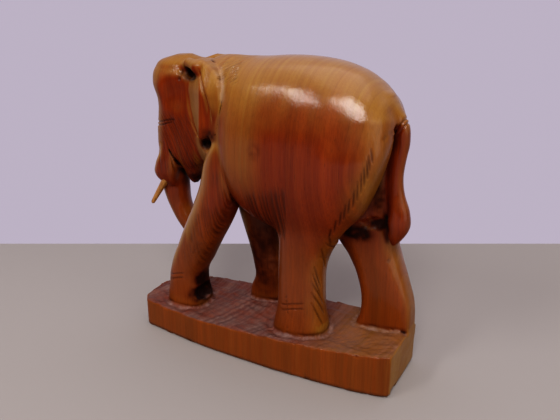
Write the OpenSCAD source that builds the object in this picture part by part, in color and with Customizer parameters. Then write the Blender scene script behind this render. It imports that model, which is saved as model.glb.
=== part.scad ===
// Carved wooden elephant standing on a boat-shaped base, with two set-in tusks.
// Millimetres. Origin at the bottom centre of the base, +Z up.
// The elephant faces -X and its left side is towards -Y.

/* [Overall] */
// Height from the underside of the base to the top of the back
overall_h = 229; // [180:1:300]

/* [Base] */
// Length of the base along the elephant
base_len = 222; // [200:1:240]
// Greatest width of the base, amidships
base_wid = 77; // [70:1:90]
// Thickness of the base at the rear
base_h_rear = 34; // [28:1:40]
// Thickness of the base at the front
base_h_front = 24; // [18:1:30]
// Depth of the gouged hollow between the hind feet
dish_depth = 4; // [0:0.5:8]

/* [Body] */
// Half width of the barrel at its fullest
barrel_half_wid = 41; // [34:1:46]
// Height of the belly above the underside of the base
belly_z = 101; // [90:1:110]
// Sideways offset of the animal from the middle of the base
body_y = 4; // [-6:1:8]

/* [Head] */
// Half width of the head at the brow
head_half_wid = 22; // [18:1:26]
// Radius of the trunk at its root
trunk_r = 12; // [9:0.5:15]
// Height of the ear from its tip to the hood
ear_h = 56; // [46:1:66]
// Thickness of the ear
ear_t = 6; // [4:0.5:9]

/* [Legs] */
// Radius of the shanks of the front legs
front_leg_r = 16.5; // [13:0.5:19]
// Radius of the shanks of the hind legs
hind_leg_r = 18.2; // [14:0.5:21]

/* [Tusks] */
// Length of the tusk outside its socket
tusk_len = 32; // [24:1:40]
// Diameter of the tusk where it leaves the socket
tusk_root_d = 7.4; // [6:0.1:9]
// Diameter of the blunt tip
tusk_tip_d = 3.4; // [2.6:0.1:6]
// Diameter of the peg turned on the end of the tusk
peg_d = 5; // [4:0.1:6]
// Length of the peg
peg_len = 12; // [8:0.5:16]
// Glue gap around the peg, on the radius
peg_gap = 0.05; // [0.03:0.01:0.1]

/* [Hidden] */
$fn = 48;
// The forms below are laid out for a figure 229 high and then scaled together
k = overall_h / 229;
wood = [0.55, 0.25, 0.11];
pale_wood = [0.72, 0.55, 0.30];
ring_n = 26;
eps = 0.01;

// ---- curves ------------------------------------------------------------

// Smooth value through the stations of a list, u running from 0 to len - 1
function at(list, i) = list[max(0, min(len(list) - 1, i))];
function smooth(list, u) =
    let (i = min(floor(u), len(list) - 2), t = u - i)
    let (a = at(list, i - 1), b = at(list, i), c = at(list, i + 1), d = at(list, i + 2))
    b + 0.5 * t * (c - a + t * (2 * a - 5 * b + 4 * c - d + t * (3 * (b - c) + d - a)));
function stations(list, steps) =
    [for (n = [0 : (len(list) - 1) * steps]) smooth(list, n / steps)];

// Superellipse corner: p = 1 is an ellipse, smaller values are squarer
function sq(v, p) = sign(v) * pow(abs(v), p);

// Ring lying flat, for limbs that run up and down
// station = [height, x of centre, y of centre, half length, half width]
function flat_ring(s, p) = [
    for (n = [0 : ring_n - 1])
        let (a = 360 * n / ring_n)
        [s[1] + s[3] * sq(cos(a), p), s[2] + s[4] * sq(sin(a), p), s[0]]
];

// Ring standing across the body, for forms that run from head to tail
// station = [x, top, bottom, half width]
function upright_ring(s, yc) = [
    for (n = [0 : ring_n - 1])
        let (a = 360 * n / ring_n, mid = s[2] + (s[1] - s[2]) * 0.47)
        let (up = sin(a) > 0 ? s[1] - mid : mid - s[2])
        [s[0], yc - s[3] * sq(cos(a), 0.88), mid + up * sq(sin(a), 0.88)]
];

// Solid skin through a list of rings, closed at both ends
module skin(rings, flip = false) {
    n = len(rings[0]);
    m = len(rings);
    points = [for (r = rings) each r];
    low = [for (j = [0 : n - 1]) j];
    high = [for (j = [n - 1 : -1 : 0]) (m - 1) * n + j];
    sides = [
        for (i = [0 : m - 2])
            for (j = [0 : n - 1])
                let (a = i * n + j, b = i * n + (j + 1) % n)
                each [[a, a + n, b + n], [a, b + n, b]]
    ];
    faces = concat([low], [high], sides);
    polyhedron(
        points = points,
        faces = flip ? [for (f = faces) [for (q = [len(f) - 1 : -1 : 0]) f[q]]] : faces,
        convexity = 8
    );
}

module limb(list, p = 1, steps = 2) {
    skin([for (s = stations(list, steps)) flat_ring(s, p)]);
}

// ---- base --------------------------------------------------------------

// Near side of the base bows out, the front end is rounded, the rear is square
bow = base_wid / 2;
bl = base_len / 2;

// t runs from the front to the rear along one side, y being the half width there
function near_y(t) = bow * (0.74 + 0.28 * pow(sin(180 * t), 0.6));
function far_y(t) = bow * (0.74 + 0.26 * pow(sin(180 * sqrt(t)), 0.7));

module base_outline() {
    polygon(concat(
        [for (t = [0.03 : 0.097 : 1]) [-bl + t * base_len, -near_y(t)]],
        [[bl, -bow * 0.74], [bl, bow * 0.74]],
        [for (t = [0.97 : -0.12 : 0.3]) [-bl + t * base_len, far_y(t)]],
        [
            [-bl + 0.20 * base_len, bow * 0.95],
            [-bl + 0.12 * base_len, bow * 0.80],
            [-bl + 0.06 * base_len, bow * 0.60],
            [-bl + 0.02 * base_len, bow * 0.25],
            [-bl, -bow * 0.10],
            [-bl, -bow * 0.50],
            [-bl + 0.01 * base_len, -bow * 0.70]
        ]
    ));
}

module base() {
    slope = atan((base_h_rear - base_h_front) / base_len);
    difference() {
        linear_extrude(base_h_rear + 6)
            base_outline();
        translate([-bl, -60, base_h_front])
            rotate([0, -slope, 0])
                translate([-20, 0, 0])
                    cube([base_len + 60, 120, 30]);
        // gouged hollow between the hind feet
        translate([68, -8, base_h_rear - 2 + 48 - dish_depth])
            sphere(r = 48);
    }
}

// ---- body --------------------------------------------------------------

w = barrel_half_wid;

barrel_line = [
    // x, top, bottom, half width
    [-50, 215, 152, 15],
    [-44, 223.6, 139, 21],
    [-30, 226.2, 124, 31],
    [-20, 226.8, 114, 36.5],
    [-8, 227.3, belly_z + 6, w - 1],
    [16, 229, belly_z, w],
    [40, 228.6, belly_z + 3, w],
    [60, 225, belly_z + 12, w - 2],
    [75, 218.5, belly_z + 27, w - 6],
    [85.5, 210, belly_z + 43, w - 11],
    [92.5, 200, belly_z + 57, w - 18],
    [96.5, 186, belly_z + 69, w - 29]
];

module barrel() {
    skin([for (s = stations(barrel_line, 2)) upright_ring(s, body_y)], flip = true);
}

// Buttock and thigh of one hind leg
module hind_leg(list) {
    limb(list, p = 0.92);
}

hr = hind_leg_r;
left_hind_line = [
    // height, x, y, half length, half width
    [26, 32, -10, hr + 3.2, hr + 0.5],
    [33, 32.5, -10, hr + 2.6, hr],
    [45, 32.5, -10, hr + 0.6, hr - 1.5],
    [62, 32.3, -10, hr, hr - 2.4],
    [80, 32.5, -9.5, hr + 0.2, hr - 2.4],
    [95, 35, -9, hr + 2.6, hr - 1],
    [111, 41, -9, hr + 7.6, hr + 1],
    [130, 51.5, -10, hr + 13, hr + 4],
    [152, 60, -11, hr + 13.5, hr + 5],
    [172, 66, -10, hr + 11.5, hr + 3],
    [190, 68, -6, hr + 5, hr - 2]
];

right_hind_line = [
    [27, 89.5, 18.5, hr + 3, 12],
    [38, 91, 18.5, hr + 0.8, 12],
    [55, 90, 18.5, hr + 0.4, 12],
    [70, 85.5, 19, hr + 0.6, 13],
    [84, 79, 20, hr + 2, 15],
    [98, 71.5, 20, hr + 5, 17],
    [114, 65, 19, hr + 9, 20],
    [132, 62, 18, hr + 13, 22],
    [152, 62, 18, hr + 13, 22],
    [172, 66, 17, hr + 11, 20],
    [190, 68, 14, hr + 5, 15]
];

fr = front_leg_r;
left_front_line = [
    [22, -74.5, -9, fr + 1.8, fr],
    [32, -74.5, -9, fr + 1.2, fr - 0.8],
    [41, -74.4, -9.5, fr - 0.4, fr - 1.5],
    [52, -73, -10, fr - 1.2, fr - 1.8],
    [66, -66.5, -11, fr, fr - 1.6],
    [82, -58, -12, fr + 0.4, fr - 1],
    [98, -49.5, -13, fr + 1, fr],
    [114, -41.5, -13.5, fr + 0.6, fr + 1],
    [132, -36.5, -13, fr - 2, fr + 1],
    [152, -34, -12, fr - 4, fr + 1],
    [172, -30, -10, fr - 6, fr]
];

right_front_line = [
    [23, -15, 25, fr + 1.4, 11.5],
    [32, -15, 25, fr + 0.6, 11.5],
    [44, -12.5, 24.5, fr - 1.6, 11.5],
    [60, -14, 24, fr - 1.4, 12],
    [78, -17.5, 23.5, fr - 0.6, 13],
    [96, -20.5, 22, fr + 1, 14],
    [116, -24, 20, fr + 1, 16],
    [140, -30, 18, fr + 1, 17],
    [165, -30, 16, fr - 3, 16]
];

// ---- head --------------------------------------------------------------

h = head_half_wid;
head_line = [
    // height, x, y, half length, half width
    [133, -74, body_y, 5, 4],
    [140, -78, body_y, 12, 10],
    [150, -82, body_y, 19.5, h - 7],
    [164, -81, body_y, 22, h - 4],
    [178, -78, body_y, 23, h - 1.5],
    [192, -77, body_y, 23.5, h],
    [205, -79, body_y, 25.4, h],
    [215, -79.8, body_y, 23, h - 4],
    [221.8, -79, body_y, 16.5, h - 9],
    [225.3, -78, body_y, 6, 6]
];

neck_line = [
    // x, top, bottom, half width
    [-86, 220.5, 160, 12],
    [-74, 224, 150, 17],
    [-60, 224, 143, 20],
    [-46, 223.8, 138, 25],
    [-34, 224.5, 134, 29]
];

jaw_line = [
    [123.5, -73.5, body_y, 2.2, 3],
    [128, -73, body_y, 5.5, 6],
    [138, -73, body_y, 9.5, 10],
    [150, -72, body_y, 13, 14],
    [166, -70, body_y, 15, 17]
];

tr = trunk_r;
trunk_line = [
    [71, -74.5, body_y + 1.5, tr - 6.5, tr - 6],
    [74, -75, body_y + 1.5, tr - 4.6, tr - 4.4],
    [82, -78.5, body_y + 1, tr - 3, tr - 3],
    [92, -84.5, body_y, tr - 2.6, tr - 2.6],
    [104, -90.5, body_y, tr - 2, tr - 2],
    [118, -93.6, body_y, tr - 0.6, tr - 0.6],
    [134, -95.6, body_y, tr + 0.6, tr + 0.4],
    [152, -93.4, body_y, tr, tr + 0.5],
    [172, -90.5, body_y, tr + 0.4, tr + 1],
    [188, -86, body_y, tr, tr + 1]
];

module head() {
    limb(head_line);
    limb(jaw_line);
    limb(trunk_line);
    skin([for (s = stations(neck_line, 2)) upright_ring(s, body_y)], flip = true);
}

// Folded ear: a leaf hanging from the hood, narrow at the tip
// side is -1 for the left ear and 1 for the right
ear_line = [
    // part of ear_h below the hood, x, stand-off from the head's middle, half chord, half thickness
    [-1.00, -45.5, 26, 2, 2],
    [-0.94, -44.5, 27, 5.5, 3],
    [-0.80, -41.5, 29, 9, 3.2],
    [-0.60, -38.5, 30.5, 11.5, 3.2],
    [-0.38, -37.5, 31, 12.5, 3.2],
    [-0.18, -38, 30, 13, 3.4],
    [-0.05, -41, 27, 11.5, 4.2],
    [0.02, -45, 24, 8.5, 4],
    [0.05, -48, 22, 4, 2.5]
];

module ear(side) {
    top = 222;
    limb([
        for (s = ear_line)
            [top + s[0] * ear_h, s[1], body_y + side * s[2], s[3], s[4] * ear_t / 6]
    ], p = 0.9);
    // hood over the hollow in front of the ear
    hull() {
        translate([-66, body_y + side * 13, 217])
            sphere(r = 4, $fn = 16);
        translate([-50, body_y + side * 25, 215])
            sphere(r = 4.5, $fn = 16);
        translate([-54, body_y + side * 12, 212])
            sphere(r = 5, $fn = 16);
    }
}

tail_line = [
    [104, 95, body_y - 1, 2.5, 2.5],
    [108, 96, body_y - 1, 5.5, 5],
    [118, 98.8, body_y - 1, 7.5, 7],
    [128, 98.8, body_y - 1, 7.2, 6.5],
    [142, 92.5, body_y, 7, 5],
    [160, 95, body_y, 6, 5],
    [180, 96.5, body_y, 5, 5],
    [194, 93, body_y, 5, 5],
    [204, 86, body_y, 5, 5]
];

// ---- tusks -------------------------------------------------------------

// Direction of the tusk, from the root in the lip to the tip
tusk_root = [-90, 13, 133];
tusk_lean = 31;
tusk_splay = 8;

module at_tusk(side) {
    translate(k * [tusk_root[0], body_y + side * tusk_root[1], tusk_root[2]])
        rotate([0, 0, side * -tusk_splay])
            rotate([0, 180 + tusk_lean, 0])
                children();
}

// Swelling of the lip that holds the tusk
module lip(side) {
    limb([
        [122, -91, body_y + side * 9, 4, 3],
        [125, -93, body_y + side * 9.5, 7.5, 5],
        [131, -94, body_y + side * 10, 10, 7],
        [139, -92, body_y + side * 10, 10.5, 8],
        [150, -88, body_y + side * 9, 9, 8],
        [160, -86, body_y + side * 7, 6, 6]
    ]);
}

module tusk_socket(side) {
    at_tusk(side)
        translate([0, 0, -k * peg_len - 0.3])
            cylinder(d = k * peg_d + 2 * peg_gap, h = k * peg_len + 30);
}

module tusk(side) {
    at_tusk(side)
        rotate_extrude()
            polygon([
                [0, -k * peg_len],
                [k * peg_d / 2 - 0.4, -k * peg_len],
                [k * peg_d / 2, -k * peg_len + 0.4],
                [k * peg_d / 2, k * 1.6],
                [k * tusk_root_d / 2, k * 1.6],
                [k * tusk_root_d / 2, k * 6],
                [k * tusk_tip_d / 2 + 0.2, k * (tusk_len - 2)],
                [k * tusk_tip_d / 2 - 0.5, k * (tusk_len - 0.4)],
                [0, k * tusk_len]
            ]);
}

// ---- parts -------------------------------------------------------------

module elephant_form() {
    base();
    barrel();
    hind_leg(left_hind_line);
    hind_leg(right_hind_line);
    limb(left_front_line);
    limb(right_front_line);
    head();
    ear(-1);
    ear(1);
    lip(-1);
    lip(1);
    limb(tail_line);
}

module carved_block() {
    color(wood)
        difference() {
            resize([0, 0, overall_h], auto = true)
                elephant_form();
            tusk_socket(-1);
            tusk_socket(1);
        }
}

module left_tusk() {
    color(pale_wood)
        tusk(-1);
}

module right_tusk() {
    color(pale_wood)
        tusk(1);
}

carved_block();
left_tusk();
right_tusk();
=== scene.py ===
import bmesh
import bpy
import math
import numpy as np
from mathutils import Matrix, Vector


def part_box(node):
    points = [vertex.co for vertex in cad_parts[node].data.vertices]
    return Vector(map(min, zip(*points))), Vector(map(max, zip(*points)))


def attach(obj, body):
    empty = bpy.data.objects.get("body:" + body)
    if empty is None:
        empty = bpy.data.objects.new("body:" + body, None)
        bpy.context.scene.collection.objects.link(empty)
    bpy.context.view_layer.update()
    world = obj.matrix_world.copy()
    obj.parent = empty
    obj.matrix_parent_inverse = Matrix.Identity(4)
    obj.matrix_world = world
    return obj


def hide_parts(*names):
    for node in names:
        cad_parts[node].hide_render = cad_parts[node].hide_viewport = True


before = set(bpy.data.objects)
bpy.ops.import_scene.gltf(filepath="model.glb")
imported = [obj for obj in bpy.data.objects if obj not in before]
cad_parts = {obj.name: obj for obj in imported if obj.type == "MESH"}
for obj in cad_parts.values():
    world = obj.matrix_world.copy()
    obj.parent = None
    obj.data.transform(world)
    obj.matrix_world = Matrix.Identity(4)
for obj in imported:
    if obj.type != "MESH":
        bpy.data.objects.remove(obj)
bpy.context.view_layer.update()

# The sculpt is laid out in millimetres for a figure 229 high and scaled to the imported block.
block_lo, block_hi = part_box("carved_block")
K = (block_hi.z - block_lo.z) / 0.229
MM = 0.001 * K
BODY_Y = 4.0  # middle plane of the body

# ---- helpers ----


def curve(x, xs, ys):
    """Smooth curve through stations, flat beyond the ends."""
    xs = np.asarray(xs, float)
    ys = np.asarray(ys, float)
    m = np.gradient(ys, xs)
    x = np.clip(x, xs[0], xs[-1])
    i = np.clip(np.searchsorted(xs, x, side="right") - 1, 0, len(xs) - 2)
    w = xs[i + 1] - xs[i]
    t = (x - xs[i]) / w
    t2 = t * t
    t3 = t2 * t
    return (
        (2 * t3 - 3 * t2 + 1) * ys[i]
        + (t3 - 2 * t2 + t) * w * m[i]
        + (3 * t2 - 2 * t3) * ys[i + 1]
        + (t3 - t2) * w * m[i + 1]
    )


def smin(a, b, k):
    """Minimum with the corner filleted over a reach of k."""
    h = np.maximum(k - np.abs(a - b), 0) / k
    return np.minimum(a, b) - h * h * k * 0.25


def smax(a, b, k):
    return -smin(-a, -b, k)


def step(a, b, x):
    """0 below a, 1 above b, smooth between."""
    t = np.clip((x - a) / (b - a), 0, 1)
    return t * t * (3 - 2 * t)


def window(x, a, b, f):
    """1 between a and b, faded over f to each side of both ends."""
    return step(a - f, a + f, x) * (1 - step(b - f, b + f, x))


def unit(g):
    return g / np.maximum(np.linalg.norm(g, axis=1), 1e-6)[:, None]


def hash01(i, j, k=0):
    v = np.sin(i * 127.1 + j * 311.7 + k * 74.7) * 43758.5453
    return v - np.floor(v)


def noise3(p, seed):
    """Smooth value noise in -1..1, one feature per unit."""
    q = np.floor(p)
    f = p - q
    f = f * f * (3 - 2 * f)
    out = 0.0
    for corner in np.ndindex(2, 2, 2):
        wx, wy, wz = (f[:, a] if corner[a] else 1 - f[:, a] for a in range(3))
        qx, qy, qz = (q[:, a] + corner[a] for a in range(3))
        v = np.sin(qx * 12.9898 + qy * 78.233 + qz * 37.719 + seed) * 43758.5453
        out = out + wx * wy * wz * (v - np.floor(v))
    return out * 2 - 1


def scallop(x, y, sx, sy, seed):
    """Overlapping gouge cuts: hollow cells, 0 in the middle and about 1 on the ridges between them."""
    u = x / sx
    v = y / sy
    best = np.full(len(x), 9.0)
    for du, dv in np.ndindex(3, 3):
        cu = np.floor(u) + du - 1
        cv = np.floor(v) + dv - 1
        px = cu + 0.15 + 0.7 * hash01(cu, cv, seed)
        py = cv + 0.15 + 0.7 * hash01(cu, cv, seed + 5)
        best = np.minimum(best, (u - px) ** 2 + (v - py) ** 2)
    return np.minimum(best / 0.5, 1.2)


# ---- forms ----


def stations(rows, y, length, width):
    """Rows of height, x, y, half length and half width, the last three as differences from these."""
    st = np.array(rows, float)
    st[:, 2:] += (y, length, width)
    return st


W = 41.0  # half width of the body
BELLY = 101.0  # height of the belly at its lowest
HIND = 18.2  # half length of a hind shank
FORE = 16.5  # half length of a fore leg
HEAD = 22.0  # half width of the head
NOSE = 12.0  # half width of the trunk near its root

# x, top, bottom, half width
BARREL = np.array([
    [-52, 212, 156, 9], [-50, 215, 152, 14], [-44, 223.6, 140, 20], [-36, 225.4, 130, 26],
    [-30, 226.2, 124, 30.5], [-24, 226.6, 118, 35], [-17, 226.9, 112, 38], [-8, 227.3, BELLY + 6, W - 1],
    [16, 229, BELLY, W], [40, 228.6, BELLY + 3, W], [60, 225, BELLY + 12, W - 2],
    [75, 218.5, BELLY + 27, W - 6], [85.5, 210, BELLY + 43, W - 11],
    [92.5, 200, BELLY + 57, W - 18], [96.5, 186, BELLY + 69, W - 29], [98.2, 179, BELLY + 76, 4],
])
NECK = np.array([
    [-86, 220.5, 160, 12], [-74, 224, 150, 17], [-60, 223.5, 143, 20],
    [-46, 223.6, 138, 25], [-34, 224.5, 134, 29], [-24, 222, 134, 28],
])
# limbs, from the lowest station up
LEFT_HIND = stations([
    [20, 32, -10, 3.4, 1], [26, 32, -10, 3.2, 0.5], [33, 32.5, -10, 2.6, 0],
    [45, 32.5, -10, 0.6, -1.5], [62, 32.3, -10, 0, -2.4], [80, 32.5, -9.5, 0.2, -2.4],
    [95, 35, -9, 2.6, -1], [111, 41, -9, 7.6, 1], [130, 51.5, -10, 13, 4], [152, 60, -11, 13.5, 5],
    [172, 66, -10, 11.5, 3], [190, 68, -6, 5, -2],
], 0, HIND, HIND)
RIGHT_HIND = stations([
    [20, 89.5, 18.2, 4.4, 11.8], [27, 89.5, 18.2, 4, 11.6], [38, 91.4, 18.2, 2.0, 11.6],
    [55, 90.2, 18.3, 0.8, 11.8], [70, 85.5, 19, 0.6, 13], [84, 79, 20, 2, 15],
    [98, 71.5, 20, 5, 17], [114, 65, 19, 9, 20], [132, 62, 18, 13, 22], [152, 62, 18, 13, 22],
    [172, 66, 17, 11, 20], [190, 68, 14, 5, 15],
], 0, HIND, 0)
LEFT_FRONT = stations([
    [16, -74.5, -9, 2.2, 0.4], [22, -74.5, -9, 1.8, 0], [32, -74.5, -9, 1.2, -0.8],
    [41, -74.4, -9.5, -0.4, -1.5], [52, -73, -10, -1.2, -1.8], [66, -66.5, -11, 0, -1.6],
    [82, -58, -12, 0.4, -1], [98, -49.5, -13, 1, 0], [114, -41.5, -13.5, 0.6, 1],
    [132, -35, -13, -0.5, 1], [152, -31.5, -12.5, -2.5, 1], [164, -27.5, -12, -5, 0.5],
    [174, -24, -10, -8, -2],
], 0, FORE, FORE)
RIGHT_FRONT = stations([
    [16, -15, 25, 1.8, 11.8], [23, -15, 25, 1.4, 11.5], [32, -15, 25, 0.6, 11.5],
    [44, -12.5, 24.5, -1.6, 11.5], [60, -14, 24, -1.4, 12], [78, -17.5, 23.5, -0.6, 13],
    [96, -20.5, 22, 1, 14], [116, -24, 20, 1, 16], [140, -30, 18, 1, 17], [165, -30, 16, -3, 16],
], 0, FORE, 0)
SKULL = stations([
    [133, -74, 0, 5, 4], [140, -78, 0, 12, 10], [150, -82, 0, 19.5, HEAD - 7],
    [164, -81, 0, 22, HEAD - 4], [178, -78, 0, 23, HEAD - 1.5], [192, -77, 0, 23.5, HEAD],
    [205, -79, 0, 25.4, HEAD], [215, -79.8, 0, 23, HEAD - 4], [221.8, -79, 0, 16.5, HEAD - 9],
    [225.3, -78, 0, 6, 6],
], BODY_Y, 0, 0)
JAW = stations([
    [123.5, -73.5, 0, 2.2, 3], [128, -73, 0, 5.5, 6], [138, -73, 0, 9.5, 10], [150, -72, 0, 13, 14],
    [166, -70, 0, 15, 17],
], BODY_Y, 0, 0)
CHEEK = stations([
    [134, -70, 0, 5, 8], [142, -68.5, 0, 10, 14.5], [152, -67, 0, 12.5, 18.5],
    [166, -66, 0, 14, 20.3], [184, -66, 0, 14, 20.6], [200, -67, 0, 13.5, 20.4],
    [212, -68, 0, 11, 17], [218, -69, 0, 6, 10],
], BODY_Y, 0, 0)
TRUNK = stations([
    [71, -74.5, 1.5, -6.5, -6], [74, -75, 1.5, -4.6, -4.4], [82, -78.5, 1, -3, -3],
    [92, -84.5, 0, -2.6, -2.6], [104, -90.5, 0, -2, -2], [118, -93.6, 0, -0.6, -0.6],
    [134, -95.6, 0, 0.6, 0.4], [152, -93.4, 0, 0, 0.5], [172, -90.5, 0, 0.4, 1],
    [188, -86, 0, 0, 1],
], BODY_Y, NOSE, NOSE)
TAIL = stations([
    [103, 97, -1, 1.5, 1.5], [108, 98, -1, 4.6, 4.4], [118, 99.8, -1, 7.8, 7],
    [128, 99.6, -1, 7.2, 6.4], [140, 96.6, 0, 5.4, 4.8], [152, 95.6, 0, 4.6, 4.4],
    [165, 96.8, 0, 4.6, 4.4], [178, 98.4, 0, 4.6, 4.4], [190, 96.4, 0, 4.5, 4.8],
    [198, 91.4, 0, 4.4, 5], [206, 84, 0, 4, 5],
], BODY_Y, 0, 0)


def section(st, z):
    """Middle and half sizes of a limb at each height: x, y, half length, half width."""
    return (curve(z, st[:, 0], st[:, c]) for c in (1, 2, 3, 4))


def about_limb(P, st, side):
    """Where points lie round a limb: its middle in x, angle from the rear outwards, share of its radius."""
    x, y, z = P.T
    xc, yc, rx, ry = section(st, z)
    return xc, np.arctan2(side * (y - yc), x - xc), np.hypot((x - xc) / rx, (y - yc) / ry)


def limb(P, st, p=2.0):
    """Upright limb through stations, each a superellipse of power p."""
    x, y, z = P.T
    xc, yc, rx, ry = section(st, z)
    dx = x - xc
    dy = y - yc
    kk = (np.abs(dx / rx) ** p + np.abs(dy / ry) ** p) ** (1 / p) + 1e-9
    r = np.hypot(dx, dy) + 1e-9
    d = r - r / kk
    e = np.maximum(st[0, 0] - z, z - st[-1, 0])
    return np.where(e > 0, np.hypot(np.maximum(d, 0), e), np.maximum(d, e))


def tub(P, st, p=2.27):
    """Barrel along x, given by its top, its bottom and its half width."""
    x, y, z = P.T
    xs = st[:, 0]
    top, bot, w = (curve(x, xs, st[:, c]) for c in (1, 2, 3))
    slope = (curve(x + 1, xs, st[:, 1] - st[:, 2]) - curve(x - 1, xs, st[:, 1] - st[:, 2])) / 4
    mid = bot + (top - bot) * 0.47
    v = z - mid
    h = np.where(v > 0, top - mid, mid - bot)
    dy = y - BODY_Y
    kk = (np.abs(dy / w) ** p + np.abs(v / h) ** p) ** (1 / p) + 1e-9
    r = np.hypot(dy, v) + 1e-9
    d = (r - r / kk) / np.sqrt(1 + np.minimum(slope * slope, 4))
    e = np.maximum(xs[0] - x, x - xs[-1])
    return np.where(e > 0, np.hypot(np.maximum(d, 0), e), np.maximum(d, e))


def ball(P, c, r):
    """Ellipsoid, near enough a distance close to its skin."""
    q = (P - np.array(c)) / np.array(r)
    k = np.sqrt((q * q).sum(1)) + 1e-9
    g = np.sqrt(((q / np.array(r)) ** 2).sum(1)) + 1e-9
    return k * (k - 1) / g


def rod(P, a, b, ra, rb):
    """Round bar from a to b."""
    a = np.array(a, float)
    b = np.array(b, float)
    ab = b - a
    t = np.clip(((P - a) @ ab) / (ab @ ab), 0, 1)
    return np.linalg.norm(P - a - t[:, None] * ab, axis=1) - (ra + (rb - ra) * t)


def poly2(u, v, pts):
    """Signed distance to a polygon in the plane, negative inside."""
    pts = np.asarray(pts, float)
    d = np.full(len(u), 1e9)
    inside = np.zeros(len(u), bool)
    for i in range(len(pts)):
        a = pts[i - 1]
        b = pts[i]
        e = b - a
        wu = u - a[0]
        wv = v - a[1]
        t = np.clip((wu * e[0] + wv * e[1]) / (e @ e), 0, 1)
        d = np.minimum(d, (wu - t * e[0]) ** 2 + (wv - t * e[1]) ** 2)
        c = (a[1] <= v) != (b[1] <= v)
        xx = a[0] + (v - a[1]) / np.where(abs(e[1]) < 1e-9, 1e-9, e[1]) * e[0]
        inside ^= c & (u < xx)
    d = np.sqrt(d)
    return np.where(inside, -d, d)


# outline of the ear seen from its side: x, z
EAR = [
    (-64, 206), (-63, 196), (-60.5, 184), (-56.5, 174), (-51, 168), (-46, 167), (-38, 171), (-30, 178.5),
    (-26, 189), (-24.6, 199), (-26, 208), (-30, 214.5), (-36, 219.5), (-43, 223.5), (-50, 225), (-58, 220),
]


def ear_ridge(z):
    """Where the flap of an ear starts, along x."""
    return curve(z, [170, 186, 198, 205, 213, 219, 227], [-33, -33.5, -35, -38, -42, -45, -48.5])


def ear(P, side):
    x, y, z = P.T
    q = side * (y - BODY_Y)
    out = poly2(x, z, EAR)
    # broad front face slanting out from the cheek to the rim, then the outer face
    foot = curve(z, [166, 172, 184, 195, 202, 213], [-50, -54, -57.5, -59, -60, -60])
    rim = curve(z, [168, 172, 186, 197, 205, 215], [-46.6, -46, -44.6, -43.9, -43.6, -45])
    bevel = 20.5 + 10 * np.clip((x - foot) / (rim - foot), -0.6, 1.6)
    # a flap laid over the ear: it steps up along a slanting line and falls away softly to the rear
    past = x - ear_ridge(z)
    rise = step(-1.4, 0.6, past) * np.exp(-np.maximum(past, 0) / 9.0)
    lobe = 2.3 * rise * step(178, 196, z)
    crease = 1.6 * np.exp(-(((past + 2.4) / 2.0) ** 2)) * step(178, 196, z)
    hollow = 1.4 * np.exp(-(((x + 38) / 6) ** 2 + ((z - 182) / 10) ** 2))
    face = 30.6 + lobe - crease - hollow - 2 * (1 - step(166, 182, z))
    face = -smax(-bevel, -face, 0.9) - 7.5 * step(200, 229, z)
    inner = face - 12 + 5.5 * (1 - step(168, 186, z))
    d = smax(out, (q - face) * 0.85, 3.0)
    return smax(d, inner - q, 2.0)


def lip(P, side):
    """Swollen lip that holds a tusk."""
    rows = [
        [121.5, -90, side * 9, 3.5, 3], [125, -93, side * 9.8, 7.5, 5.4],
        [131, -94.5, side * 10.4, 10.3, 7.4], [139, -93, side * 10, 10.5, 8],
        [150, -89.5, side * 8.6, 9, 8], [162, -87, side * 6.5, 7, 7],
    ]
    return limb(P, stations(rows, BODY_Y, 0, 0), 2.3)


# ---- base ----

BOW = 38.5  # half width
BL = 111.0  # half length


def near_y(t):
    """How far the near edge stands out, from the front (t = 0) to the rear (t = 1)."""
    return BOW * (0.74 + 0.28 * np.sin(np.pi * np.clip(t, 0, 1)) ** 0.6)


def far_y(t):
    return BOW * (0.74 + 0.26 * np.sin(np.pi * np.sqrt(np.clip(t, 0, 1))) ** 0.7)


def outline():
    """The base seen from above: bowed long edges, square rear end, rounded skew nose."""
    near = [(-BL + t * 2 * BL, -near_y(t)) for t in np.linspace(0.03, 0.985, 26)]
    far = [(-BL + t * 2 * BL, far_y(t)) for t in np.linspace(0.97, 0.27, 20)]
    nose = [
        (0.20, 0.95), (0.155, 0.885), (0.12, 0.80), (0.09, 0.71), (0.06, 0.58), (0.035, 0.42),
        (0.017, 0.23), (0.005, 0.04), (0.0, -0.12), (0.0, -0.50), (0.006, -0.64),
    ]
    rear = [(BL, -BOW * 0.735), (BL, BOW * 0.74)]
    return near + rear + far + [(-BL + a * 2 * BL, b * BOW) for a, b in nose]


OUTLINE = outline()


def base_top(x, y):
    """Height of the gouged top of the base, before its edge is rounded."""
    z = curve(x, [-111, -80, -52, 0, 25, 60, 90, 111], [24.6, 24.4, 24.6, 27.4, 29, 31, 33.2, 34.6])
    # crowned near the front, hollow between the feet, lower at the corner under the right hind foot
    z = z + 1.6 * (1 - step(0, 26, np.abs(y))) * (1 - step(20, 60, x))
    z = z - 3.6 * np.exp(-(((x - 66) / 17) ** 2 + ((y + 10) / 15) ** 2))
    z = z - 2.6 * np.exp(-(((x - 88) / 13) ** 2 + ((y + 17) / 11) ** 2))
    z = z - 2.6 * step(101, 109, x) * step(2, 9, y)
    z = z - 1.8 * np.exp(-(((x - 2) / 20) ** 2 + ((y + 12) / 13) ** 2))
    z = z - 1.2 * np.exp(-(((x + 38) / 13) ** 2 + ((y - 4) / 14) ** 2))
    return z


def plinth(P, feet):
    """The base, given the distance to the feet that stand on it."""
    x, y, z = P.T
    d2 = poly2(x, y, OUTLINE)
    wob = 0.35 * noise3(P / (17, 17, 60), 3.0)
    top = base_top(x, y)
    # narrow trench cut round each foot
    top = top - 1.5 * np.exp(-(((feet - 2.2) / 2.4) ** 2)) * (1 - step(96, 104, x))
    painted_light_and_wear = 2.2 + 1.4 * noise3(P / (9, 9, 30), 15.0)
    return smax(d2 + wob, z - top, np.maximum(painted_light_and_wear, 0.8))


# ---- whole block ----


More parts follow.
